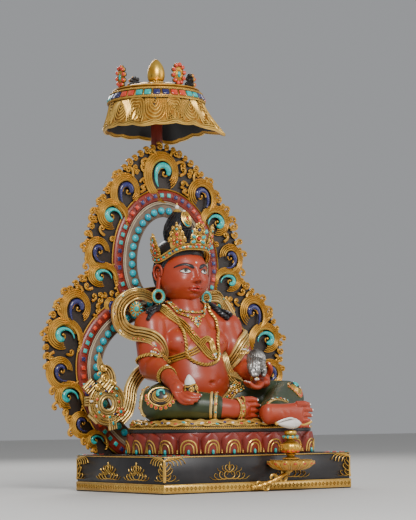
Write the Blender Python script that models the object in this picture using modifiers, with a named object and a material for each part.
"""Seated wealth deity with lotus throne, pedestal, aureole and canopy.

Blender 4.5. Metres, +Z up. The front faces -Y, and +X is the viewer's right.
The origin is the centre of the pedestal's underside.
"""

import math

import bmesh
import bpy
import numpy as np
from mathutils import Euler, Matrix, Vector

# Clearance between pieces that touch
GAP = 0.0003

# Pedestal
PEDESTAL_WIDTH = 0.2506
PEDESTAL_DEPTH = 0.1857
PEDESTAL_HEIGHT = 0.041
PEDESTAL_ROUNDING = 0.0022
PEDESTAL_BAND_HEIGHT = 0.012
PEDESTAL_BAND_PROUD = 0.0009
PEDESTAL_RELIEF = 0.0011
CORNER_LEAF_WIDTH = 0.030
CORNER_LEAF_HEIGHT = 0.025
CARTOUCHE_WIDTH = 0.026
CARTOUCHE_HEIGHT = 0.013
FRONT_CARTOUCHE_PITCH = 0.046
SIDE_CARTOUCHE_OFFSET = 0.029

# Lotus throne
THRONE_HALF_WIDTH = 0.102
THRONE_HALF_DEPTH = 0.0705
THRONE_CORNER = 0.045
THRONE_CENTRE_Y = -0.016
THRONE_PETALS = 22
POINTS_PER_PETAL = 3
PETAL_HEIGHT = 0.0235
PETAL_BULGE = 0.0036
COLLAR_HEIGHT = 0.0036
COLLAR_INSET = 0.006
ROPE_HEIGHT = 0.0034
SEAT_CLOTH_HEIGHT = 0.006
SEAT_POINTS = 24

# Aureole, measured in its own plane: across, and up from the floor
AUREOLE_FRONT_Y = 0.088
AUREOLE_LEAN = math.radians(1.9)
AUREOLE_THICKNESS = 0.005
UPPER_LOBE_CENTRE = 0.272
UPPER_LOBE_HALF_WIDTH = 0.1135
UPPER_LOBE_RISE = 0.1405
UPPER_LOBE_DROP = 0.052
UPPER_LOBE_POWER = 1.6
LOWER_LOBE_CENTRE = 0.168
LOWER_LOBE_HALF_WIDTH = 0.1695
LOWER_LOBE_RISE = 0.120
LOWER_LOBE_DROP = 0.175
LOWER_LOBE_POWER = 1.8
RIM_CURL_PITCH = 0.0140
RIM_CURL_DEPTH = 0.0028
HEAD_RING_CENTRE = 0.263
HEAD_RING_HALF_WIDTH = 0.0485
HEAD_RING_RISE = 0.0665
HEAD_RING_DROP = 0.0535
BODY_RING_CENTRE = 0.140
BODY_RING_HALF_WIDTH = 0.1005
BODY_RING_RISE = 0.0715
BODY_RING_DROP = 0.0975
BEAD_BAND_HALF_WIDTH = 0.0065
BEAD_RADIUS = 0.0045
BEAD_HEIGHT = 0.0034
BEAD_PITCH = 0.0107
RING_POINTS = 26
RIDGE_OFFSET = 0.0095
RIDGE_RADIUS = 0.0017
OVAL_SAMPLES = 720
# Swirl bosses on the viewer's right half: across, up, half width, half height
TOP_SWIRL = (0.0, 0.3755, 0.0185, 0.0215)
SIDE_SWIRLS = (
    (0.0480, 0.3490, 0.0150, 0.0165),
    (0.0695, 0.3190, 0.0155, 0.0130),
    (0.0870, 0.2780, 0.0135, 0.0130),
    (0.0875, 0.2480, 0.0145, 0.0100),
    (0.1150, 0.2110, 0.0150, 0.0165),
    (0.1385, 0.1775, 0.0155, 0.0135),
    (0.1400, 0.1385, 0.0140, 0.0135),
    (0.1345, 0.1075, 0.0130, 0.0110),
    (0.1150, 0.0780, 0.0120, 0.0090),
    (0.0975, 0.0575, 0.0110, 0.0080),
)
SWIRL_HEIGHT = 0.0036
SWIRL_SEGMENTS = 6

# Canopy and its post
POST_DIAMETER = 0.014
POST_FOOT = 0.336
CANOPY_X = 0.0
CANOPY_CEILING = 0.4625
CANOPY_PLATE_RADIUS = 0.0525
CANOPY_PLATE_TOP = 0.4760
CANOPY_BAND_RADIUS = 0.0560
CANOPY_SKIRT_RADIUS = 0.0660
CANOPY_CORNER_REACH = 0.0105
CANOPY_SKIRT_BOTTOM = 0.4285
CANOPY_CORNER_DROP = 0.0045
CANOPY_SKEW = 0.95
CANOPY_SCALLOP = 0.0026
CANOPY_SCALLOPS = 16
CANOPY_WALL = 0.0022
CANOPY_POINTS = 32
FINIAL_DOME_RADIUS = 0.040
FINIAL_DOME_HEIGHT = 0.009
FINIAL_BUD_RADIUS = 0.0105
FINIAL_TIP = 0.517
ORNAMENT_REACH = 0.0505
ORNAMENT_WIDTH = 0.0185
ORNAMENT_HEIGHT = 0.029
ORNAMENT_THICKNESS = 0.009

# Figure: joints of the body and limbs, the statue's right side at -X
PELVIS = (0.0, 0.036, 0.098)
BELLY = (0.0, 0.035, 0.1215)
WAIST = (0.0, 0.039, 0.147)
CHEST = (-0.001, 0.046, 0.166)
NECK = (-0.003, 0.050, 0.206)
HEAD = (-0.006, 0.052, 0.2493)
HEAD_TURN = math.radians(1)
HEAD_HALF_WIDTH = 0.0292
HEAD_HALF_DEPTH = 0.0318
HEAD_HALF_HEIGHT = 0.0352
HAIR_KNOT = (-0.008, 0.057, 0.301)
HAIR_KNOT_RADIUS = 0.0165
RIGHT_SHOULDER = (-0.0535, 0.047, 0.187)
RIGHT_ELBOW = (-0.062, 0.030, 0.139)
RIGHT_WRIST = (-0.0712, -0.018, 0.1275)
RIGHT_PALM = (-0.0735, -0.038, 0.116)
RIGHT_FINGERTIPS = (-0.064, -0.056, 0.101)
LEFT_SHOULDER = (0.0535, 0.0475, 0.187)
LEFT_ELBOW = (0.062, 0.033, 0.1365)
LEFT_WRIST = (0.0645, -0.006, 0.1265)
LEFT_PALM = (0.0565, -0.020, 0.1215)
LEFT_FINGERTIPS = (0.030, -0.033, 0.1225)
RIGHT_HIP = (-0.036, 0.034, 0.100)
RIGHT_KNEE = (-0.088, -0.022, 0.0975)
RIGHT_ANKLE = (-0.024, -0.0695, 0.0900)
RIGHT_TOES = (-0.001, -0.0745, 0.0895)
LEFT_HIP = (0.036, 0.034, 0.100)
LEFT_KNEE = (0.101, -0.004, 0.102)
LEFT_ANKLE = (0.020, -0.083, 0.0850)
LEFT_HEEL = (0.0125, -0.0965, 0.0835)
LEFT_TOES = (0.0545, -0.0985, 0.0835)
FOOT_HALF_WIDTH = 0.0138
FOOT_THICKNESS = 0.0080
# Ellipsoids of the trunk: centre and half sizes
TRUNK_FORMS = (
    (PELVIS, (0.0470, 0.0340, 0.0240)),
    (BELLY, (0.0410, 0.0370, 0.0340)),
    (WAIST, (0.0355, 0.0300, 0.0300)),
    (CHEST, (0.0385, 0.0275, 0.0310)),
)
BREAST = (0.0225, 0.0395, 0.1665)
BREAST_HALF_SIZES = (0.0205, 0.0180, 0.0190)
SHOULDER_BAR = ((0.0, 0.050, 0.190), (0.046, 0.049, 0.1875))
SHOULDER_BAR_RADII = (0.0175, 0.0165)
NECK_RADII = (0.0290, 0.0170, 0.0175)
ARM_RADII = (0.0190, 0.0155, 0.0092)
HAND_RADIUS = 0.0088
RIGHT_LEG_RADII = (0.0260, 0.0195, 0.0125)
LEFT_LEG_RADII = (0.0270, 0.0215, 0.0130)
# Ellipsoids of the head from its centre: jaw, chin, nose tip and the cap of hair
HEAD_FORMS = (
    ((0.0, -0.0065, -0.0150), (0.0255, 0.0255, 0.0200)),
    ((0.0, -0.0275, -0.0280), (0.0085, 0.0055, 0.0060)),
    ((0.0, -0.0335, -0.0075), (0.0055, 0.0053, 0.0046)),
    ((0.0, 0.0044, 0.0240), (0.0286, 0.0303, 0.0198)),
)
NOSE_BRIDGE = ((0.0, -0.0297, 0.0066), (0.0, -0.0345, -0.0055))
NOSE_RADII = (0.0024, 0.0033)
EAR = (0.0310, 0.0025, 0.0005)
EAR_HALF_SIZES = (0.0045, 0.0075, 0.0098)
EAR_LOBE = ((0.0318, 0.0010, -0.0085), (0.0332, 0.0010, -0.0205))
EAR_LOBE_RADII = (0.0034, 0.0030)
HAIR_KNOT_HALF_HEIGHT = 0.021
FIGURE_VOXEL = 0.0017
FIGURE_FACES = 1640

# Crown and jewellery
CROWN_CENTRE = (-0.006, 0.053, 0.2790)
CROWN_HALF_WIDTH = 0.0320
CROWN_HALF_DEPTH = 0.0350
CROWN_BAND_RADIUS = 0.0032
CROWN_BAND_STRETCH = 1.4
CROWN_LEAF_ANGLES = (-95, -43, 0, 43, 95)
CROWN_LEAF_WIDTH = 0.021
CROWN_LEAF_HEIGHT = 0.033
CROWN_LEAF_DROP = 0.0140
CROWN_LEAF_LEAN = math.radians(12)
CROWN_LEAF_THICKNESS = 0.0070
CROWN_LEAF_SINK = 0.003
KNOT_JEWEL_RADIUS = 0.0062
KNOT_JEWEL_HEIGHT = 0.019
EARRING_RADIUS = 0.0066
EARRING_WIRE = 0.0020
EARRING_PLACE = (0.0333, 0.0500, 0.2230)

# Scarves, drawn for the statue's right side and mirrored for the left
SCARF_THICKNESS = 0.0042
UPPER_SCARF_WIDTH = 0.0165
UPPER_SCARF_PATH = (
    (-0.0343, 0.0720, 0.2219),
    (-0.0504, 0.0700, 0.2263),
    (-0.0662, 0.0680, 0.2246),
    (-0.0800, 0.0660, 0.2174),
    (-0.0868, 0.0640, 0.2075),
    (-0.0883, 0.0600, 0.1958),
    (-0.0841, 0.0550, 0.1852),
    (-0.0777, 0.0470, 0.1790),
    (-0.0715, 0.0350, 0.1768),
    (-0.0638, 0.0250, 0.1740),
    (-0.0569, 0.0205, 0.1669),
    (-0.0525, 0.0205, 0.1575),
)
LOWER_SCARF_WIDTH = 0.0165
LOWER_LOOP_CENTRE = (-0.1035, 0.064, 0.0985)
LOWER_LOOP_RADIUS = 0.0180
LOWER_SCARF_PATH = (
    (-0.0480, 0.0690, 0.1380),
    (-0.0585, 0.0690, 0.1290),
    (-0.0675, 0.0670, 0.1160),
    (-0.0715, 0.0640, 0.1020),
    (-0.0755, 0.0640, 0.0900),
    (-0.0850, 0.0640, 0.0805),
)
FLAME_PATH = (
    (-0.1070, 0.064, 0.1170),
    (-0.0995, 0.064, 0.1260),
    (-0.1010, 0.064, 0.1350),
    (-0.1085, 0.064, 0.1400),
    (-0.1110, 0.064, 0.1470),
    (-0.1118, 0.064, 0.1575),
)
FLAME_WIDTHS = (0.0200, 0.0190, 0.0150, 0.0100, 0.0070, 0.0015)

# Things in the hands and under the left foot
CITRON = (-0.0670, -0.0550, 0.1162)
CITRON_RADIUS = 0.0078
CITRON_HEIGHT = 0.0225
MONGOOSE_TOP = (0.0440, -0.0250, 0.1530)
MONGOOSE_NOSE = (0.0350, -0.0370, 0.1290)
MONGOOSE_RADIUS = 0.0118
MONGOOSE_VOXEL = 0.0012
MONGOOSE_FACES = 200
CONCH = (0.0245, -0.1135, 0.0738)
CONCH_LENGTH = 0.0345
CONCH_RADIUS = 0.0066
BRACKET_X = 0.0275
BRACKET_Y = -0.1120
BRACKET_DISC_RADIUS = 0.0265
BRACKET_DISC_BOTTOM = 0.0225
BRACKET_DISC_TOP = 0.0340
STEM_RADIUS = 0.0024
STEM_FOOT_X = -0.014
STEM_FOOT_Z = 0.0045
LEAF_LENGTH = 0.017
LEAF_THICKNESS = 0.0045

# Heights that follow from the sizes above
PETAL_FOOT = PEDESTAL_HEIGHT + GAP
PETAL_TOP = PETAL_FOOT + PETAL_HEIGHT
COLLAR_TOP = PETAL_TOP + COLLAR_HEIGHT
ROPE_TOP = COLLAR_TOP + ROPE_HEIGHT
SEAT_TOP = ROPE_TOP + SEAT_CLOTH_HEIGHT
VASE_FOOT = BRACKET_DISC_TOP + GAP
VASE_TOP = CONCH[2] - CONCH_RADIUS - GAP
AUREOLE_FOOT = PEDESTAL_HEIGHT + GAP
PEDESTAL_FRONT = -PEDESTAL_DEPTH / 2 - PEDESTAL_BAND_PROUD

for old in list(bpy.data.objects):
    bpy.data.objects.remove(old, do_unlink=True)

parts = bpy.data.collections.new("wealth_deity_statue")
cutters = bpy.data.collections.new("cutters")
cutters.hide_render = True
bpy.context.scene.collection.children.link(parts)
bpy.context.scene.collection.children.link(cutters)


def finish_material(name, color, roughness, metallic):
    material = bpy.data.materials.new(name)
    material.use_nodes = True
    shader = material.node_tree.nodes["Principled BSDF"]
    shader.inputs["Base Color"].default_value = (*color, 1.0)
    shader.inputs["Roughness"].default_value = roughness
    shader.inputs["Metallic"].default_value = metallic
    return material


GOLD = finish_material("gilding", (0.60, 0.37, 0.13), 0.38, 0.85)
BLACK = finish_material("black_lacquer", (0.018, 0.016, 0.016), 0.45, 0.0)
RED = finish_material("petal_red", (0.26, 0.035, 0.018), 0.40, 0.0)
SKIN = finish_material("painted_skin", (0.46, 0.075, 0.035), 0.40, 0.0)
TURQUOISE = finish_material("turquoise", (0.02, 0.42, 0.42), 0.35, 0.0)
SILVER = finish_material("silvered_fur", (0.22, 0.20, 0.18), 0.40, 0.6)
SHELL = finish_material("shell_white", (0.75, 0.72, 0.66), 0.45, 0.0)


def place_mesh(name, bm, material, collection=parts):
    """A bmesh as a named object."""
    mesh = bpy.data.meshes.new(name)
    bm.to_mesh(mesh)
    bm.free()
    obj = bpy.data.objects.new(name, mesh)
    collection.objects.link(obj)
    if material:
        mesh.materials.append(material)
    if collection is cutters:
        obj.hide_render = True
        obj.display_type = "WIRE"
    return obj


def boolean(obj, other, operation):
    modifier = obj.modifiers.new(operation.lower(), "BOOLEAN")
    modifier.operation = operation
    modifier.solver = "EXACT"
    modifier.use_self = True
    modifier.object = other
    return modifier


def swollen(obj, distance):
    """A copy of an object's final mesh pushed out along its normals, to cut neighbours with."""
    graph = bpy.context.evaluated_depsgraph_get()
    mesh = bpy.data.meshes.new_from_object(obj.evaluated_get(graph), depsgraph=graph)
    copy = bpy.data.objects.new(obj.name + "_clearance", mesh)
    copy.matrix_world = obj.matrix_world.copy()
    cutters.objects.link(copy)
    copy.hide_render = True
    copy.display_type = "WIRE"
    push = copy.modifiers.new("clearance", "DISPLACE")
    push.direction = "NORMAL"
    push.mid_level = 0.0
    push.strength = distance
    return copy


def face_count(obj):
    graph = bpy.context.evaluated_depsgraph_get()
    return len(obj.evaluated_get(graph).data.polygons)


def ellipsoid(bm, centre, radii, turn=(0.0, 0.0, 0.0), segments=16, rings=10):
    matrix = (
        Matrix.Translation(centre)
        @ Euler(turn).to_matrix().to_4x4()
        @ Matrix.Diagonal((*radii, 1.0))
    )
    made = bmesh.ops.create_uvsphere(
        bm, u_segments=segments, v_segments=rings, radius=1.0, matrix=matrix
    )
    return made["verts"]


def limb(bm, points, radii, segments=16):
    """A chain of tapered tubes with a ball at every joint."""
    for start, end, r0, r1 in zip(points, points[1:], radii, radii[1:]):
        start, end = Vector(start), Vector(end)
        along = end - start
        turn = along.to_track_quat("Z", "Y").to_matrix().to_4x4()
        bmesh.ops.create_cone(
            bm,
            cap_ends=True,
            segments=segments,
            radius1=r0,
            radius2=r1,
            depth=along.length,
            matrix=Matrix.Translation((start + end) / 2) @ turn,
        )
    for point, radius in zip(points, radii):
        ellipsoid(bm, point, (radius, radius, radius))


def turn_outwards(bm, faces):
    bmesh.ops.recalc_face_normals(bm, faces=faces)
    for face in faces:
        face.normal_update()
    if sum(f.calc_center_median().dot(f.normal) * f.calc_area() for f in faces) < 0:
        bmesh.ops.reverse_faces(bm, faces=faces)


def loft(bm, rings, closed=False):
    """Skins rings with the same number of points: closed joins the last to the first, otherwise the ends are capped."""
    rows = [[bm.verts.new(point) for point in ring] for ring in rings]
    count = len(rows[0])
    faces = []
    for low, high in zip(rows, rows[1:] + (rows[:1] if closed else [])):
        for i in range(count):
            j = (i + 1) % count
            faces.append(bm.faces.new((low[i], low[j], high[j], high[i])))
    if not closed:
        faces += [bm.faces.new(rows[0]), bm.faces.new(rows[-1])]
    turn_outwards(bm, faces)


def smooth_path(points, steps):
    """Points on a Catmull-Rom curve through the given ones."""
    points = [Vector(p) for p in points]
    points = [2 * points[0] - points[1]] + points + [2 * points[-1] - points[-2]]
    path = []
    for a, b, c, d in zip(points, points[1:], points[2:], points[3:]):
        for i in range(steps):
            t = i / steps
            path.append(
                0.5
                * (
                    2 * b
                    + (c - a) * t
                    + (2 * a - 5 * b + 4 * c - d) * t**2
                    + (3 * b - a - 3 * c + d) * t**3
                )
            )
    path.append(points[-2])
    return path


def ribbon(bm, path, widths, thickness, facing=(0.0, -1.0, 0.0), sides=6):
    """A band along a path, its broad face turned towards facing."""
    facing = Vector(facing)
    rings = []
    for i, (point, width) in enumerate(zip(path, widths)):
        along = (path[min(i + 1, len(path) - 1)] - path[max(i - 1, 0)]).normalized()
        across = along.cross(facing).normalized()
        out = across.cross(along).normalized()
        ring = []
        for k in range(sides):
            angle = 2 * math.pi * (k + 0.5) / sides
            ring.append(
                point
                + across * (math.cos(angle) * width / 2)
                + out * (math.sin(angle) * thickness / 2)
            )
        rings.append(ring)
    loft(bm, rings)


def turned(name, profile, steps, material, place=(0.0, 0.0, 0.0)):
    """A lathe shape: the profile's radii and heights run from top to bottom."""
    bm = bmesh.new()
    verts = [bm.verts.new((radius, 0.0, height)) for radius, height in profile]
    for a, b in zip(verts, verts[1:]):
        bm.edges.new((a, b))
    mesh = bpy.data.meshes.new(name)
    bm.to_mesh(mesh)
    bm.free()
    mesh.materials.append(material)
    obj = bpy.data.objects.new(name, mesh)
    parts.objects.link(obj)
    obj.location = place
    screw = obj.modifiers.new("turn", "SCREW")
    screw.steps = steps
    screw.render_steps = steps
    screw.use_merge_vertices = True
    screw.merge_threshold = 0.00005
    screw.use_smooth_shade = True
    return obj


def torus(name, centre, major, minor, stretch, turn, segments, sides, material):
    """A torus with its hole along Z, stretched along its axes, then turned and moved to its place."""
    bpy.ops.mesh.primitive_torus_add(
        major_radius=major, minor_radius=minor, major_segments=segments, minor_segments=sides
    )
    obj = bpy.context.object
    for collection in list(obj.users_collection):
        collection.objects.unlink(obj)
    parts.objects.link(obj)
    obj.name = name
    obj.data.name = name
    place = Matrix.Translation(centre) @ Euler(turn).to_matrix().to_4x4()
    obj.data.transform(place @ Matrix.Diagonal((*stretch, 1.0)))
    obj.data.materials.append(material)
    return obj


def rod(name, path, radius, material, collection):
    """A round bar along a path, as a mesh with welded caps."""
    curve = bpy.data.curves.new(name, "CURVE")
    curve.dimensions = "3D"
    curve.bevel_depth = radius
    curve.bevel_resolution = 1
    curve.use_fill_caps = True
    spline = curve.splines.new("POLY")
    spline.points.add(len(path) - 1)
    for point, place in zip(spline.points, path):
        point.co = (*place, 1.0)
    guide = bpy.data.objects.new(name + "_curve", curve)
    cutters.objects.link(guide)
    graph = bpy.context.evaluated_depsgraph_get()
    mesh = bpy.data.meshes.new_from_object(guide.evaluated_get(graph), depsgraph=graph)
    bpy.data.objects.remove(guide, do_unlink=True)
    bm = bmesh.new()
    bm.from_mesh(mesh)
    bmesh.ops.remove_doubles(bm, verts=bm.verts, dist=0.00005)
    turn_outwards(bm, list(bm.faces))
    return place_mesh(name, bm, material, collection)


def mirrored_name(name, side):
    return f"{name}_{'right' if side > 0 else 'left'}"


def mirrored(points, side):
    """Points as drawn, or flipped to the other side of the statue."""
    return [Vector((p[0] * side, p[1], p[2])) for p in points]


def pedestal_relief(bm, across, along_y, plane, width, height, z, turned_side):
    """One low boss on a face of the pedestal."""
    if turned_side:
        centre, radii = (plane, along_y, z), (PEDESTAL_RELIEF, width / 2, height / 2)
    else:
        centre, radii = (across, plane, z), (width / 2, PEDESTAL_RELIEF, height / 2)
    ellipsoid(bm, centre, radii, segments=6, rings=3)


def make_pedestal():
    bm = bmesh.new()
    size = (PEDESTAL_WIDTH, PEDESTAL_DEPTH, PEDESTAL_HEIGHT, 1.0)
    lift = Matrix.Translation((0.0, 0.0, PEDESTAL_HEIGHT / 2))
    bmesh.ops.create_cube(bm, size=1.0, matrix=lift @ Matrix.Diagonal(size))
    body = place_mesh("pedestal", bm, BLACK)
    rounding = body.modifiers.new("rounding", "BEVEL")
    rounding.width = PEDESTAL_ROUNDING
    rounding.segments = 1

    bm = bmesh.new()
    grow = 2 * PEDESTAL_BAND_PROUD
    size = (PEDESTAL_WIDTH + grow, PEDESTAL_DEPTH + grow, PEDESTAL_BAND_HEIGHT, 1.0)
    lift = Matrix.Translation((0.0, 0.0, PEDESTAL_BAND_HEIGHT / 2))
    bmesh.ops.create_cube(bm, size=1.0, matrix=lift @ Matrix.Diagonal(size))
    band = place_mesh("pedestal_band", bm, GOLD, cutters)
    boolean(body, band, "UNION")

    bm = bmesh.new()
    leaf_z = PEDESTAL_BAND_HEIGHT + CORNER_LEAF_HEIGHT / 2
    picture_z = (PEDESTAL_BAND_HEIGHT + PEDESTAL_HEIGHT) / 2
    half_width, half_depth = PEDESTAL_WIDTH / 2, PEDESTAL_DEPTH / 2
    leaf_x = half_width - CORNER_LEAF_WIDTH / 2 - PEDESTAL_ROUNDING
    leaf_y = half_depth - CORNER_LEAF_WIDTH / 2 - PEDESTAL_ROUNDING
    for side in (-1, 1):
        plane_y, plane_x = side * half_depth, side * half_width
        for end in (-1, 1):
            leaf = (CORNER_LEAF_WIDTH, CORNER_LEAF_HEIGHT, leaf_z)
            pedestal_relief(bm, end * leaf_x, 0.0, plane_y, *leaf, False)
            pedestal_relief(bm, 0.0, end * leaf_y, plane_x, *leaf, True)
            picture = (CARTOUCHE_WIDTH, CARTOUCHE_HEIGHT, picture_z)
            pedestal_relief(bm, 0.0, end * SIDE_CARTOUCHE_OFFSET, plane_x, *picture, True)
        for place in (-1, 0, 1):
            picture = (CARTOUCHE_WIDTH, CARTOUCHE_HEIGHT, picture_z)
            pedestal_relief(bm, place * FRONT_CARTOUCHE_PITCH, 0.0, plane_y, *picture, False)
    relief = place_mesh("pedestal_relief", bm, GOLD, cutters)
    boolean(body, relief, "UNION")
    return body


def seat_outline(count):
    """Evenly spaced points round the throne's oblong with round corners, each with its outward normal."""
    straight_x = THRONE_HALF_WIDTH - THRONE_CORNER
    straight_y = THRONE_HALF_DEPTH - THRONE_CORNER
    quarter = math.pi * THRONE_CORNER / 2
    legs = (2 * straight_x, quarter, 2 * straight_y, quarter) * 2
    total = sum(legs)
    corners = ((1, -1), (1, 1), (-1, 1), (-1, -1))
    points = []
    for i in range(count):
        distance = total * i / count
        leg = 0
        while distance > legs[leg]:
            distance -= legs[leg]
            leg += 1
        sign_x, sign_y = corners[leg // 2]
        before = math.radians(-90 + 90 * (leg // 2))
        if leg % 2:
            angle = before + distance / THRONE_CORNER
            normal = Vector((math.cos(angle), math.sin(angle), 0.0))
            centre = Vector((sign_x * straight_x, sign_y * straight_y, 0.0))
            point = centre + normal * THRONE_CORNER
        else:
            normal = Vector((math.cos(before), math.sin(before), 0.0))
            along = Vector((-normal.y, normal.x, 0.0))
            end = Vector((sign_x * straight_x, sign_y * straight_y, 0.0)) + normal * THRONE_CORNER
            point = end - along * (legs[leg] - distance)
        points.append((point + Vector((0.0, THRONE_CENTRE_Y, 0.0)), normal))
    return points


def make_lotus_throne():
    outline = seat_outline(THRONE_PETALS * POINTS_PER_PETAL)
    # Share of the petals' height, inset of the ground between them, share of the full bulge
    levels = (
        (0.00, -0.0050, 0.6),
        (0.10, -0.0010, 1.0),
        (0.45, 0.0000, 1.1),
        (0.80, -0.0016, 0.9),
        (1.00, -0.0070, 0.3),
    )
    rings = []
    for share, inset, bulge in levels:
        ring = []
        for i, (point, normal) in enumerate(outline):
            across = (i % POINTS_PER_PETAL) / POINTS_PER_PETAL
            swell = 1 - (2 * across - 1) ** 2
            out = inset + bulge * swell * PETAL_BULGE
            height = PETAL_FOOT + share * PETAL_HEIGHT
            ring.append(point + normal * out + Vector((0.0, 0.0, height)))
        rings.append(ring)
    bm = bmesh.new()
    loft(bm, rings)
    petals = place_mesh("lotus_throne", bm, RED)

    cloth_low = ROPE_TOP + SEAT_CLOTH_HEIGHT * 0.35
    cloth_high = ROPE_TOP + SEAT_CLOTH_HEIGHT * 0.8
    bands = (
        (PETAL_FOOT + PETAL_HEIGHT / 2, COLLAR_INSET),
        (COLLAR_TOP, COLLAR_INSET),
        (COLLAR_TOP, 0.0010),
        (COLLAR_TOP + ROPE_HEIGHT / 2, -0.0004),
        (ROPE_TOP, 0.0010),
        (cloth_low, 0.0030),
        (cloth_high, 0.0022),
        (SEAT_TOP, 0.0060),
    )
    ground = seat_outline(SEAT_POINTS)
    rings = [
        [point - normal * inset + Vector((0.0, 0.0, height)) for point, normal in ground]
        for height, inset in bands
    ]
    bm = bmesh.new()
    loft(bm, rings)
    top = place_mesh("throne_top", bm, GOLD, cutters)
    boolean(petals, top, "UNION")
    return petals


def lobed(angle, half_width, rise, drop, power):
    """A point on an oval whose upper and lower halves differ, from its centre."""
    c, s = math.cos(angle), math.sin(angle)
    reach = rise if s >= 0 else drop
    return (
        half_width * math.copysign(abs(c) ** (2 / power), c),
        reach * math.copysign(abs(s) ** (2 / power), s),
    )


def dense_oval(centre, half_width, rise, drop, power, count=OVAL_SAMPLES):
    ring = [lobed(2 * math.pi * i / count, half_width, rise, drop, power) for i in range(count)]
    return [(x, centre + z) for x, z in ring]


def aureole_outline():
    """The outer edge from the foot at the viewer's right, over the top, to the other foot."""
    upper = (UPPER_LOBE_HALF_WIDTH, UPPER_LOBE_RISE, UPPER_LOBE_DROP, UPPER_LOBE_POWER)
    lower = (LOWER_LOBE_HALF_WIDTH, LOWER_LOBE_RISE, LOWER_LOBE_DROP, LOWER_LOBE_POWER)
    count = OVAL_SAMPLES
    half = []
    for i in range(count):
        angle = math.pi * (i / count - 0.5)
        x, z = lobed(angle, *lower)
        z += LOWER_LOBE_CENTRE
        within = upper_share(x, z) < 1
        if z > AUREOLE_FOOT and not within:
            half.append((x, z))
    for i in range(count + 1):
        angle = math.pi * (i / count - 0.5)
        x, z = lobed(angle, *upper)
        z += UPPER_LOBE_CENTRE
        if lower_share(x, z) >= 1 and z > half[-1][1]:
            half.append((x, z))
    whole = half + [(-x, z) for x, z in reversed(half)]
    return [(whole[0][0], AUREOLE_FOOT)] + whole + [(-whole[0][0], AUREOLE_FOOT)]


def upper_share(x, z):
    """Under 1 inside the upper lobe."""
    dz = z - UPPER_LOBE_CENTRE
    reach = UPPER_LOBE_RISE if dz >= 0 else UPPER_LOBE_DROP
    return (abs(x) / UPPER_LOBE_HALF_WIDTH) ** UPPER_LOBE_POWER + (abs(dz) / reach) ** UPPER_LOBE_POWER


def lower_share(x, z):
    """Under 1 inside the lower lobe."""
    dz = z - LOWER_LOBE_CENTRE
    reach = LOWER_LOBE_RISE if dz >= 0 else LOWER_LOBE_DROP
    return (abs(x) / LOWER_LOBE_HALF_WIDTH) ** LOWER_LOBE_POWER + (abs(dz) / reach) ** LOWER_LOBE_POWER


def even_steps(points, pitch, closed=False):
    """The polyline resampled at an even pitch that divides its length."""
    pts = np.array(points + points[:1] if closed else points, float)
    lengths = np.hypot(*np.diff(pts, axis=0).T)
    travelled = np.concatenate([[0.0], np.cumsum(lengths)])
    count = max(3, round(travelled[-1] / pitch))
    stops = np.linspace(0.0, travelled[-1], count + 1)
    if closed:
        stops = stops[:-1]
    xs = np.interp(stops, travelled, pts[:, 0])
    zs = np.interp(stops, travelled, pts[:, 1])
    return [(float(x), float(z)) for x, z in zip(xs, zs)]


def scalloped_rim():
    """The outline with a round curl every pitch, drawn as a peak and a valley."""
    path = even_steps(aureole_outline(), RIM_CURL_PITCH / 2)
    rim = []
    last = len(path) - 1
    for i, (x, z) in enumerate(path):
        if i in (0, last) or i % 2 == 0:
            rim.append((x, z))
            continue
        before, after = Vector(path[i - 1]), Vector(path[i + 1])
        along = (after - before).normalized()
        outward = Vector((along.y, -along.x))
        rim.append((x + outward.x * RIM_CURL_DEPTH, z + outward.y * RIM_CURL_DEPTH))
    return rim


def head_ring(offset):
    return (
        HEAD_RING_HALF_WIDTH + offset,
        HEAD_RING_RISE + offset,
        HEAD_RING_DROP + offset,
        2.0,
    )


def body_ring(offset):
    return (
        BODY_RING_HALF_WIDTH + offset,
        BODY_RING_RISE + offset,
        BODY_RING_DROP + offset,
        2.0,
    )


RINGS = ((HEAD_RING_CENTRE, head_ring), (BODY_RING_CENTRE, body_ring))


def flat_plate(name, outlines, low, high, material, collection):
    """A plate cut along outlines in the aureole's plane: the first is its edge, the rest are holes."""
    curve = bpy.data.curves.new(name, "CURVE")
    curve.dimensions = "2D"
    curve.fill_mode = "BOTH"
    curve.extrude = (high - low) / 2
    for outline in outlines:
        spline = curve.splines.new("POLY")
        spline.points.add(len(outline) - 1)
        for point, (x, z) in zip(spline.points, outline):
            point.co = (x, z, 0.0, 1.0)
        spline.use_cyclic_u = True
    flat = bpy.data.objects.new(name + "_curve", curve)
    cutters.objects.link(flat)
    # The plate stands up: its thickness runs back from the front plane
    flat.matrix_world = Matrix.Translation((0.0, (low + high) / 2, 0.0)) @ Matrix.Rotation(
        math.pi / 2, 4, "X"
    )
    graph = bpy.context.evaluated_depsgraph_get()
    mesh = bpy.data.meshes.new_from_object(flat.evaluated_get(graph), depsgraph=graph)
    obj = bpy.data.objects.new(name, mesh)
    obj.matrix_world = flat.matrix_world.copy()
    bpy.data.objects.remove(flat, do_unlink=True)
    bm = bmesh.new()
    bm.from_mesh(mesh)
    bmesh.ops.transform(bm, matrix=obj.matrix_world, verts=bm.verts)
    bmesh.ops.remove_doubles(bm, verts=bm.verts, dist=0.00005)
    turn_outwards(bm, list(bm.faces))
    obj.matrix_world = Matrix.Identity(4)
    bpy.data.objects.remove(obj, do_unlink=True)
    return place_mesh(name, bm, material, collection)


def ring_bar(name, centre, shape, offset, half_width, height):
    """A raised moulding that follows a ring of the aureole, standing forward of its front plane."""
    back = AUREOLE_THICKNESS / 2
    rows = ((offset + half_width, back), (offset, -height), (offset - half_width, back))
    rings = []
    for reach, y in rows:
        oval = dense_oval(centre, *shape(reach), count=RING_POINTS)
        rings.append([(x, y, z) for x, z in oval])
    bm = bmesh.new()
    loft(bm, rings, closed=True)
    return place_mesh(name, bm, GOLD, cutters)


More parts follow.
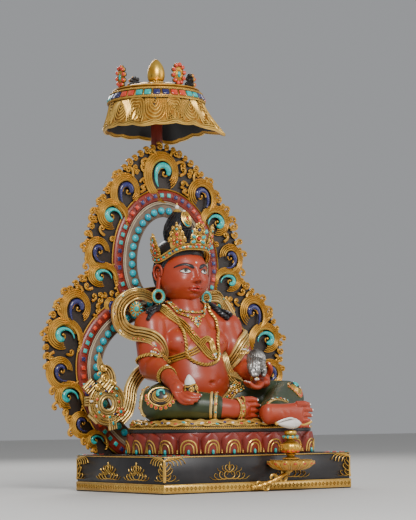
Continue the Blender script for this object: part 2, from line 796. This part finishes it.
def make_aureole():
    """Built upright with its front plane at Y = 0, then leaned back and moved to its place."""
    # The rings' shapes, and the plate with its two openings
    openings = [
        dense_oval(centre, *shape(-BEAD_BAND_HALF_WIDTH), count=RING_POINTS)
        for centre, shape in RINGS
    ]
    body = flat_plate("aureole", [scalloped_rim()] + openings, 0.0, AUREOLE_THICKNESS, GOLD, parts)

    for index, (centre, shape) in enumerate(RINGS):
        ridge = ring_bar(f"ridge_{index}", centre, shape, RIDGE_OFFSET, RIDGE_RADIUS, RIDGE_RADIUS)
        boolean(body, ridge, "UNION")

    bm = bmesh.new()
    stand = Matrix.Rotation(math.pi / 2, 4, "X")
    for centre, shape in RINGS:
        path = even_steps(dense_oval(centre, *shape(0.0)), BEAD_PITCH, closed=True)
        for x, z in path:
            bmesh.ops.create_cone(
                bm,
                cap_ends=True,
                segments=4,
                radius1=BEAD_RADIUS,
                radius2=BEAD_RADIUS / 2,
                depth=2 * BEAD_HEIGHT,
                matrix=Matrix.Translation((x, 0.0, z)) @ stand,
            )
    beads = place_mesh("ring_beads", bm, TURQUOISE, cutters)
    boolean(body, beads, "UNION")

    bm = bmesh.new()
    swirls = [TOP_SWIRL]
    for x, z, a, b in SIDE_SWIRLS:
        swirls += [(x, z, a, b), (-x, z, a, b)]
    for x, z, a, b in swirls:
        ellipsoid(bm, (x, 0.0, z), (a, SWIRL_HEIGHT, b), segments=SWIRL_SEGMENTS, rings=4)
    bosses = place_mesh("swirl_bosses", bm, GOLD, cutters)
    boolean(body, bosses, "UNION")

    bm = bmesh.new()
    reach = 1.0
    matrix = Matrix.Translation((0.0, 0.0, AUREOLE_FOOT - reach / 2))
    bmesh.ops.create_cube(bm, size=reach, matrix=matrix)
    floor = place_mesh("aureole_foot_cut", bm, None, cutters)
    boolean(body, floor, "DIFFERENCE")

    lean = Matrix.Translation((0.0, AUREOLE_FRONT_Y, AUREOLE_FOOT)) @ Matrix.Rotation(
        -AUREOLE_LEAN, 4, "X"
    )
    settle = lean @ Matrix.Translation((0.0, 0.0, -AUREOLE_FOOT))
    frame = bpy.data.objects.new("aureole_place", None)
    cutters.objects.link(frame)
    frame.matrix_world = settle
    body.parent = frame
    for obj in list(cutters.objects):
        if obj.name.startswith(("ridge_", "ring_beads", "swirl_", "aureole_foot")):
            obj.parent = frame
    return body


def behind_aureole(height):
    """Y of the aureole's back face at a height."""
    rise = height - AUREOLE_FOOT
    return AUREOLE_FRONT_Y + rise * math.tan(AUREOLE_LEAN) + AUREOLE_THICKNESS / math.cos(AUREOLE_LEAN)


POST_Y = behind_aureole(UPPER_LOBE_CENTRE + UPPER_LOBE_RISE) + GAP + POST_DIAMETER / 2


def make_canopy_post():
    radius = POST_DIAMETER / 2
    top = CANOPY_CEILING - GAP
    profile = ((0.0, top), (radius, top), (radius, POST_FOOT + radius / 2), (radius / 2, POST_FOOT), (0.0, POST_FOOT))
    return turned("canopy_post", profile, 12, RED, (CANOPY_X, POST_Y, 0.0))


def canopy_ring(radius, height, corner, scallop):
    """One ring of the canopy: corner pulls the diagonals out and down, most at the front right, and
    scallop lifts the hem between."""
    ring = []
    for i in range(CANOPY_POINTS):
        angle = 2 * math.pi * i / CANOPY_POINTS
        diagonal = ((1 - math.cos(4 * angle)) / 2) ** 3
        hem = abs(math.sin(CANOPY_SCALLOPS * angle / 2))
        reach = CANOPY_CORNER_REACH * (1 + CANOPY_SKEW * math.cos(angle + math.pi / 4))
        r = radius + corner * diagonal * reach
        z = height - corner * diagonal * CANOPY_CORNER_DROP - scallop * hem * CANOPY_SCALLOP
        ring.append((CANOPY_X + r * math.cos(angle), POST_Y + r * math.sin(angle), z))
    return ring


def make_canopy():
    flare = CANOPY_SKIRT_RADIUS - CANOPY_BAND_RADIUS
    fall = CANOPY_CEILING - CANOPY_SKIRT_BOTTOM
    moulding = (CANOPY_PLATE_TOP - CANOPY_CEILING) / 3
    rings = [
        canopy_ring(CANOPY_PLATE_RADIUS - 0.002, CANOPY_PLATE_TOP, 0.0, 0.0),
        canopy_ring(CANOPY_PLATE_RADIUS, CANOPY_PLATE_TOP - moulding / 2, 0.0, 0.0),
        canopy_ring(CANOPY_PLATE_RADIUS - 0.003, CANOPY_PLATE_TOP - moulding, 0.0, 0.0),
        canopy_ring(CANOPY_BAND_RADIUS, CANOPY_CEILING, 0.1, 0.0),
        canopy_ring(CANOPY_BAND_RADIUS + flare * 0.25, CANOPY_CEILING - fall * 0.35, 0.3, 0.0),
        canopy_ring(CANOPY_BAND_RADIUS + flare * 0.6, CANOPY_CEILING - fall * 0.75, 0.65, 0.4),
        canopy_ring(CANOPY_SKIRT_RADIUS, CANOPY_SKIRT_BOTTOM, 1.0, 1.0),
        canopy_ring(CANOPY_SKIRT_RADIUS - CANOPY_WALL, CANOPY_SKIRT_BOTTOM, 1.0, 1.0),
        canopy_ring(
            CANOPY_BAND_RADIUS + flare * 0.6 - CANOPY_WALL, CANOPY_CEILING - fall * 0.75, 0.65, 0.4
        ),
        canopy_ring(CANOPY_BAND_RADIUS - CANOPY_WALL, CANOPY_CEILING, 0.1, 0.0),
    ]
    bm = bmesh.new()
    loft(bm, rings)
    return place_mesh("canopy", bm, GOLD)


def make_canopy_finial():
    foot = CANOPY_PLATE_TOP + GAP
    shoulder = foot + FINIAL_DOME_HEIGHT
    bud = FINIAL_TIP - shoulder
    profile = (
        (0.0, FINIAL_TIP),
        (FINIAL_BUD_RADIUS * 0.30, shoulder + bud * 0.90),
        (FINIAL_BUD_RADIUS * 0.75, shoulder + bud * 0.68),
        (FINIAL_BUD_RADIUS, shoulder + bud * 0.42),
        (FINIAL_BUD_RADIUS * 0.80, shoulder + bud * 0.18),
        (FINIAL_BUD_RADIUS * 0.55, shoulder + bud * 0.08),
        (FINIAL_BUD_RADIUS * 0.90, shoulder),
        (FINIAL_DOME_RADIUS * 0.55, shoulder - FINIAL_DOME_HEIGHT * 0.20),
        (FINIAL_DOME_RADIUS * 0.86, shoulder - FINIAL_DOME_HEIGHT * 0.55),
        (FINIAL_DOME_RADIUS, foot),
        (0.0, foot),
    )
    return turned("canopy_finial", profile, 12, GOLD, (CANOPY_X, POST_Y, 0.0))


def leaf_cluster(bm, foot, width, height, thickness, heading, lean):
    """A pointed jewel leaf standing on foot, its back to the heading's centre, leaning outwards."""
    radii = (width / 2, thickness / 2, height / 2)
    verts = ellipsoid(bm, (0.0, 0.0, 0.0), radii, segments=6, rings=5)
    place = (
        Matrix.Translation(foot)
        @ Matrix.Rotation(heading, 4, "Z")
        @ Matrix.Rotation(lean, 4, "X")
        @ Matrix.Translation((0.0, 0.0, height / 2))
    )
    for vert in verts:
        share = vert.co.z / height + 0.5
        narrow = 1.15 - 0.75 * share
        vert.co.x *= narrow
        vert.co = place @ vert.co


def make_canopy_ornaments():
    foot = CANOPY_PLATE_TOP + GAP
    for i in range(4):
        angle = i * math.pi / 2
        place = (
            CANOPY_X + ORNAMENT_REACH * math.cos(angle),
            POST_Y + ORNAMENT_REACH * math.sin(angle),
            foot,
        )
        bm = bmesh.new()
        size = (ORNAMENT_WIDTH, ORNAMENT_HEIGHT, ORNAMENT_THICKNESS)
        leaf_cluster(bm, place, *size, angle - math.pi / 2, 0.0)
        place_mesh(f"canopy_ornament_{i + 1}", bm, GOLD)


def foot_shape(bm, heel, toes, back, front, half_height):
    """A foot lying on its outer edge: a flat wedge from the heel to a row of toes."""
    heel, toes = Vector(heel), Vector(toes)
    along = toes - heel
    for i in range(7):
        t = i / 6
        centre = heel + along * t
        reach = back + (front - back) * t
        ellipsoid(bm, centre, (half_height * 0.62, reach, half_height * (0.86 + 0.14 * t)))
    for i in range(5):
        drop = (i - 2) * half_height * 0.42
        root = toes + Vector((0.0, 0.0, -drop))
        length = half_height * (0.98 - 0.10 * abs(i - 1))
        tip = root + along.normalized() * length
        limb(bm, (root, tip), (half_height * 0.24, half_height * 0.21), segments=8)


def hand_shape(bm, wrist, palm, tips, radius):
    """A cupped hand: a palm, four fingers that fan towards the tips, and a thumb."""
    wrist, palm, tips = Vector(wrist), Vector(palm), Vector(tips)
    limb(bm, (wrist, palm), (radius, radius * 1.15))
    along = (tips - palm).normalized()
    side = along.cross(Vector((0.0, 0.0, 1.0))).normalized()
    for i in range(4):
        spread = (i - 1.5) * radius * 0.55
        root = palm + side * spread
        middle = palm.lerp(tips, 0.55) + side * spread * 1.1 - Vector((0.0, 0.0, radius * 0.25))
        tip = tips + side * spread * 1.1 + Vector((0.0, 0.0, radius * 0.25))
        limb(bm, (root, middle, tip), (radius * 0.42, radius * 0.36, radius * 0.28), segments=8)


def make_figure():
    bm = bmesh.new()
    for centre, half_sizes in TRUNK_FORMS:
        ellipsoid(bm, centre, half_sizes)
    for side in (-1, 1):
        ellipsoid(bm, (side * BREAST[0], *BREAST[1:]), BREAST_HALF_SIZES)
        limb(bm, mirrored(SHOULDER_BAR, side), SHOULDER_BAR_RADII)
    limb(bm, (CHEST, NECK, HEAD), NECK_RADII)
    limb(bm, (RIGHT_SHOULDER, RIGHT_ELBOW, RIGHT_WRIST), ARM_RADII)
    limb(bm, (LEFT_SHOULDER, LEFT_ELBOW, LEFT_WRIST), ARM_RADII)
    hand_shape(bm, RIGHT_WRIST, RIGHT_PALM, RIGHT_FINGERTIPS, HAND_RADIUS)
    hand_shape(bm, LEFT_WRIST, LEFT_PALM, LEFT_FINGERTIPS, HAND_RADIUS)
    limb(bm, (RIGHT_HIP, RIGHT_KNEE, RIGHT_ANKLE), RIGHT_LEG_RADII)
    limb(bm, (LEFT_HIP, LEFT_KNEE, LEFT_ANKLE), LEFT_LEG_RADII)
    foot_shape(bm, RIGHT_ANKLE, RIGHT_TOES, 0.0105, 0.0060, FOOT_HALF_WIDTH)
    foot_shape(bm, LEFT_HEEL, LEFT_TOES, FOOT_THICKNESS, 0.0055, FOOT_HALF_WIDTH)

    turn = Matrix.Rotation(HEAD_TURN, 4, "Z")
    head = Vector(HEAD)
    facing = (0.0, 0.0, HEAD_TURN)

    def on_head(place):
        return head + turn @ Vector(place)

    ellipsoid(bm, head, (HEAD_HALF_WIDTH, HEAD_HALF_DEPTH, HEAD_HALF_HEIGHT), facing)
    for centre, half_sizes in HEAD_FORMS:
        ellipsoid(bm, on_head(centre), half_sizes, facing)
    limb(bm, [on_head(place) for place in NOSE_BRIDGE], NOSE_RADII, segments=8)
    for side in (-1, 1):
        ellipsoid(bm, on_head((side * EAR[0], *EAR[1:])), EAR_HALF_SIZES, facing)
        lobe = [on_head(place) for place in mirrored(EAR_LOBE, side)]
        limb(bm, lobe, EAR_LOBE_RADII, segments=8)
    ellipsoid(bm, HAIR_KNOT, (HAIR_KNOT_RADIUS, HAIR_KNOT_RADIUS, HAIR_KNOT_HALF_HEIGHT))

    figure = place_mesh("figure", bm, SKIN)
    fuse = figure.modifiers.new("fuse", "REMESH")
    fuse.mode = "VOXEL"
    fuse.voxel_size = FIGURE_VOXEL
    soften = figure.modifiers.new("soften", "SMOOTH")
    soften.factor = 0.5
    soften.iterations = 3
    coarsen = figure.modifiers.new("coarsen", "DECIMATE")
    coarsen.ratio = FIGURE_FACES / (2 * face_count(figure))

    bm = bmesh.new()
    ground = seat_outline(SEAT_POINTS)
    levels = (PEDESTAL_HEIGHT - GAP, SEAT_TOP + GAP)
    rings = [
        [point + normal * 0.0005 + Vector((0.0, 0.0, level)) for point, normal in ground]
        for level in levels
    ]
    loft(bm, rings)
    seat = place_mesh("seat_clearance", bm, None, cutters)
    boolean(figure, seat, "DIFFERENCE")
    return figure


def make_crown(figure_clearance):
    centre = Vector(CROWN_CENTRE)
    stretch = (1.0, CROWN_HALF_DEPTH / CROWN_HALF_WIDTH, CROWN_BAND_STRETCH)
    flat = (0.0, 0.0, 0.0)
    crown = torus(
        "crown", centre, CROWN_HALF_WIDTH, CROWN_BAND_RADIUS, stretch, flat, 14, 5, GOLD
    )

    bm = bmesh.new()
    for degrees in CROWN_LEAF_ANGLES:
        heading = math.radians(degrees) + HEAD_TURN
        out = Vector((math.sin(heading), -math.cos(heading), 0.0))
        drop = CROWN_LEAF_DROP * math.sin(math.radians(degrees)) ** 4
        foot = centre + Vector(
            (
                out.x * CROWN_HALF_WIDTH,
                out.y * CROWN_HALF_DEPTH,
                -CROWN_LEAF_SINK - drop,
            )
        )
        size = (CROWN_LEAF_WIDTH, CROWN_LEAF_HEIGHT, CROWN_LEAF_THICKNESS)
        leaf_cluster(bm, foot, *size, heading, CROWN_LEAF_LEAN)
    leaves = place_mesh("crown_leaves", bm, GOLD, cutters)
    boolean(crown, leaves, "UNION")
    boolean(crown, figure_clearance, "DIFFERENCE")
    return crown


def make_topknot_jewel(figure_clearance):
    top = HAIR_KNOT[2] + HAIR_KNOT_HALF_HEIGHT
    profile = (
        (0.0, KNOT_JEWEL_HEIGHT - 0.006),
        (KNOT_JEWEL_RADIUS * 0.35, KNOT_JEWEL_HEIGHT - 0.009),
        (KNOT_JEWEL_RADIUS * 0.80, KNOT_JEWEL_HEIGHT - 0.013),
        (KNOT_JEWEL_RADIUS, 0.002),
        (KNOT_JEWEL_RADIUS * 0.9, -0.002),
        (KNOT_JEWEL_RADIUS * 1.3, -0.004),
        (0.0, -0.004),
    )
    jewel = turned("topknot_jewel", profile, 10, GOLD, (HAIR_KNOT[0], HAIR_KNOT[1], top))
    boolean(jewel, figure_clearance, "DIFFERENCE")
    return jewel


def make_earring(side, figure_clearance):
    x, y, z = EARRING_PLACE
    turn = Matrix.Rotation(HEAD_TURN, 4, "Z")
    centre = Vector((HEAD[0], HEAD[1], 0.0)) + turn @ Vector((-side * x, y - HEAD[1], z))
    upright = (math.pi / 2, 0.0, 0.0)
    even = (1.0, 1.0, 1.0)
    name = mirrored_name("earring", side)
    ring = torus(
        name, centre, EARRING_RADIUS, EARRING_WIRE, even, upright, 12, 5, TURQUOISE
    )
    boolean(ring, figure_clearance, "DIFFERENCE")
    return ring


def make_upper_scarf(side, figure_clearance):
    path = mirrored(UPPER_SCARF_PATH, side)
    last = len(path) - 1
    widths = []
    for i in range(last + 1):
        from_end = min(1.0, 4 * i / last, 4 * (last - i) / last)
        widths.append(UPPER_SCARF_WIDTH * (0.75 + 0.25 * from_end))
    bm = bmesh.new()
    ribbon(bm, path, widths, SCARF_THICKNESS)
    scarf = place_mesh(mirrored_name("upper_scarf", side), bm, GOLD)
    boolean(scarf, figure_clearance, "DIFFERENCE")
    return scarf


def make_lower_scarf(side, figure_clearance):
    name = mirrored_name("lower_scarf", side)
    centre = mirrored([LOWER_LOOP_CENTRE], side)[0]
    bm = bmesh.new()
    major, minor = 12, 4
    loops = []
    for i in range(major):
        angle = 2 * math.pi * i / major
        out = Vector((math.cos(angle), 0.0, math.sin(angle)))
        ring = []
        for k in range(minor):
            tilt = 2 * math.pi * (k + 0.5) / minor
            across = out * (math.cos(tilt) * LOWER_SCARF_WIDTH / 2)
            through = Vector((0.0, math.sin(tilt) * SCARF_THICKNESS / 2, 0.0))
            ring.append(centre + out * LOWER_LOOP_RADIUS + across + through)
        loops.append(ring)
    loft(bm, loops, closed=True)
    scarf = place_mesh(name, bm, GOLD)

    bm = bmesh.new()
    path = mirrored(LOWER_SCARF_PATH, side)
    ribbon(bm, path, [LOWER_SCARF_WIDTH] * len(path), SCARF_THICKNESS * 0.96, sides=4)
    band = place_mesh(name + "_band", bm, GOLD, cutters)
    boolean(scarf, band, "UNION")

    bm = bmesh.new()
    path = mirrored(FLAME_PATH, side)
    ribbon(bm, path, FLAME_WIDTHS, SCARF_THICKNESS * 0.92, sides=4)
    flame = place_mesh(name + "_flame", bm, GOLD, cutters)
    boolean(scarf, flame, "UNION")
    boolean(scarf, figure_clearance, "DIFFERENCE")
    return scarf


def make_citron_jewel(figure_clearance):
    half = CITRON_HEIGHT / 2
    profile = (
        (0.0, half),
        (CITRON_RADIUS * 0.30, half * 0.80),
        (CITRON_RADIUS * 0.62, half * 0.45),
        (CITRON_RADIUS * 0.80, half * 0.10),
        (CITRON_RADIUS, -half * 0.25),
        (CITRON_RADIUS * 0.80, -half * 0.75),
        (0.0, -half),
    )
    jewel = turned("citron_jewel", profile, 10, SHELL, CITRON)
    boolean(jewel, figure_clearance, "DIFFERENCE")
    return jewel


def make_mongoose(figure_clearance):
    top, nose = Vector(MONGOOSE_TOP), Vector(MONGOOSE_NOSE)
    bm = bmesh.new()
    middle = top.lerp(nose, 0.45)
    limb(
        bm,
        (top, middle, nose),
        (MONGOOSE_RADIUS * 0.80, MONGOOSE_RADIUS, MONGOOSE_RADIUS * 0.42),
    )
    ellipsoid(bm, middle + Vector((0.004, 0.003, 0.001)), (0.0125, 0.0125, 0.0130))
    for side in (-1, 1):
        ear = top.lerp(nose, 0.62) + Vector((side * 0.0062, -0.004, 0.003))
        ellipsoid(bm, ear, (0.0022, 0.0016, 0.0026))
    animal = place_mesh("mongoose", bm, SILVER)
    fuse = animal.modifiers.new("fuse", "REMESH")
    fuse.mode = "VOXEL"
    fuse.voxel_size = MONGOOSE_VOXEL
    soften = animal.modifiers.new("soften", "SMOOTH")
    soften.factor = 0.5
    soften.iterations = 2
    coarsen = animal.modifiers.new("coarsen", "DECIMATE")
    coarsen.ratio = MONGOOSE_FACES / (2 * face_count(animal))
    boolean(animal, figure_clearance, "DIFFERENCE")
    return animal


def make_conch(figure_clearance):
    """The shell lies across: a long siphon to the viewer's left and a whorled spire to the right."""
    # Share of the length from the siphon's end, and share of the full radius
    profile = (
        (0.00, 0.06),
        (0.15, 0.30),
        (0.35, 0.66),
        (0.52, 0.94),
        (0.62, 1.00),
        (0.70, 0.80),
        (0.74, 0.84),
        (0.82, 0.52),
        (0.86, 0.55),
        (0.93, 0.26),
        (1.00, 0.05),
    )
    sides = 8
    rings = []
    for share, fullness in profile:
        ring = []
        for k in range(sides):
            angle = 2 * math.pi * k / sides
            radius = CONCH_RADIUS * fullness
            ring.append(
                (
                    CONCH[0] + (share - 0.5) * CONCH_LENGTH,
                    CONCH[1] + radius * math.cos(angle),
                    CONCH[2] + radius * math.sin(angle),
                )
            )
        rings.append(ring)
    bm = bmesh.new()
    loft(bm, rings)
    conch = place_mesh("conch", bm, SHELL)
    boolean(conch, figure_clearance, "DIFFERENCE")
    return conch


def make_treasure_vase():
    height = VASE_TOP - VASE_FOOT
    # Radius, and share of the vase's height
    profile = (
        (0.0, 1.00),
        (0.0040, 1.00),
        (0.0064, 0.90),
        (0.0048, 0.80),
        (0.0105, 0.72),
        (0.0135, 0.66),
        (0.0110, 0.60),
        (0.0128, 0.46),
        (0.0112, 0.30),
        (0.0126, 0.24),
        (0.0090, 0.16),
        (0.0055, 0.10),
        (0.0100, 0.04),
        (0.0110, 0.00),
        (0.0, 0.00),
    )
    rows = tuple((radius, VASE_FOOT + share * height) for radius, share in profile)
    return turned("treasure_vase", rows, 9, GOLD, (BRACKET_X, BRACKET_Y, 0.0))


def make_lotus_bracket():
    middle = (BRACKET_DISC_TOP + BRACKET_DISC_BOTTOM) / 2
    low = BRACKET_DISC_BOTTOM
    profile = (
        (0.0, BRACKET_DISC_TOP),
        (BRACKET_DISC_RADIUS * 0.55, BRACKET_DISC_TOP),
        (BRACKET_DISC_RADIUS * 0.90, middle + 0.0030),
        (BRACKET_DISC_RADIUS, middle + 0.0005),
        (BRACKET_DISC_RADIUS * 0.88, middle - 0.0020),
        (BRACKET_DISC_RADIUS * 0.45, low),
        (0.0, low - 0.0010),
    )
    disc = turned("lotus_bracket", profile, 14, GOLD, (BRACKET_X, BRACKET_Y, 0.0))

    stem_y = PEDESTAL_FRONT - STEM_RADIUS - 0.0012
    stem = smooth_path(
        (
            (BRACKET_X - 0.001, BRACKET_Y + 0.006, low + 0.0015),
            (BRACKET_X - 0.006, stem_y - 0.004, low - 0.0065),
            (BRACKET_X - 0.018, stem_y, STEM_FOOT_Z + 0.0060),
            (STEM_FOOT_X + 0.010, stem_y, STEM_FOOT_Z + 0.0010),
            (STEM_FOOT_X, stem_y, STEM_FOOT_Z),
        ),
        2,
    )
    arm = rod("bracket_stem", stem, STEM_RADIUS, GOLD, cutters)
    boolean(disc, arm, "UNION")

    bm = bmesh.new()
    # Where each leaf leaves the stem, as a share of its length, and the leaf's slope
    for share, slope in ((0.45, 20), (0.60, 160), (0.85, 130)):
        angle = math.radians(slope)
        root = stem[round(share * (len(stem) - 1))]
        tip = root + Vector((math.cos(angle), 0.0, math.sin(angle))) * LEAF_LENGTH
        leaf = smooth_path((root, root.lerp(tip, 0.5) + Vector((0.0, -0.001, 0.002)), tip), 2)
        widths = (0.004, 0.008, 0.009, 0.006, 0.002)
        ribbon(bm, leaf, widths, LEAF_THICKNESS * 0.8, sides=4)
    leaves = place_mesh("bracket_leaves", bm, GOLD, cutters)
    boolean(disc, leaves, "UNION")

    bm = bmesh.new()
    reach = 0.2
    matrix = Matrix.Translation((0.0, PEDESTAL_FRONT - GAP - PEDESTAL_RELIEF + reach / 2, 0.0))
    bmesh.ops.create_cube(bm, size=reach, matrix=matrix)
    wall = place_mesh("pedestal_clearance", bm, None, cutters)
    boolean(disc, wall, "DIFFERENCE")
    return disc


def main():
    make_pedestal()
    make_lotus_throne()
    make_aureole()
    make_canopy_post()
    make_canopy()
    make_canopy_finial()
    make_canopy_ornaments()
    figure = make_figure()
    bpy.context.view_layer.update()
    clearance = swollen(figure, GAP)
    make_crown(clearance)
    make_topknot_jewel(clearance)
    for side in (1, -1):
        make_earring(side, clearance)
        make_upper_scarf(side, clearance)
        make_lower_scarf(side, clearance)
    make_citron_jewel(clearance)
    make_mongoose(clearance)
    make_conch(clearance)
    make_treasure_vase()
    make_lotus_bracket()


main()
